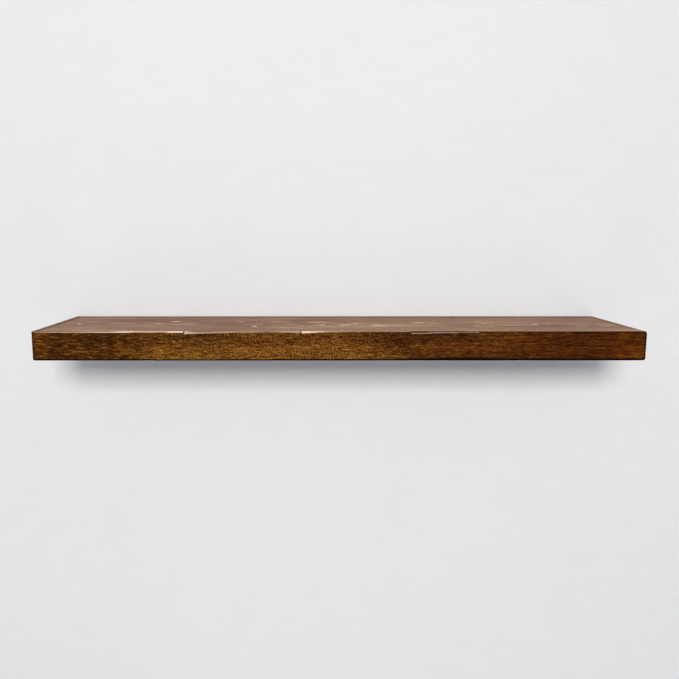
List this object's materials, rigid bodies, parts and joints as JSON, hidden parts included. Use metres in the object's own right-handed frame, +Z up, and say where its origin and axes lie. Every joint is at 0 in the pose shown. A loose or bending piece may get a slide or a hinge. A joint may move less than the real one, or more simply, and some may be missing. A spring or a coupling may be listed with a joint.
{
  "type": "floating wall shelf",
  "caption": "Thick stained solid-wood plank shelf that slides over the rods of a hidden steel wall bracket and is locked by grub screws from below.",
  "frame": {"origin": "centre of the back bar's rear face, on the wall, at mid-length and mid-thickness of the plank", "axes": "+X along the shelf to the right as seen from the room, +Y into the wall, +Z up"},
  "size_m": [0.914, 0.2585, 0.044],
  "materials": {
    "stained_wood": "dark walnut stain, satin",
    "powder_coat": "fine black powder coat on steel",
    "zinc_steel": "bright zinc plate",
    "nylon": "moulded grey nylon",
    "brass": "machined brass"
  },
  "bodies": {
    "bracket": {"back_bar": "powder_coat", "support_rod_1": "powder_coat", "support_rod_2": "powder_coat", "support_rod_3": "powder_coat", "support_rod_4": "powder_coat", "rod_bolt_1": "zinc_steel", "rod_bolt_2": "zinc_steel", "rod_bolt_3": "zinc_steel", "rod_bolt_4": "zinc_steel", "wall_screw_1": "zinc_steel", "wall_screw_2": "zinc_steel", "wall_screw_3": "zinc_steel", "wall_screw_4": "zinc_steel", "wall_screw_5": "zinc_steel", "wall_screw_6": "zinc_steel", "wall_plug_1": "nylon", "wall_plug_2": "nylon", "wall_plug_3": "nylon", "wall_plug_4": "nylon", "wall_plug_5": "nylon", "wall_plug_6": "nylon"},
    "shelf": {"shelf_board": "stained_wood", "lock_insert_left": "brass", "lock_insert_right": "brass", "lock_screw_left": "zinc_steel", "lock_screw_right": "zinc_steel"}
  },
  "joints": [
    {"name": "shelf_slide", "type": "slide", "parent": "bracket", "child": "shelf", "axis": [0, -1, 0], "range_m": [0, 0.15]}
  ]
}
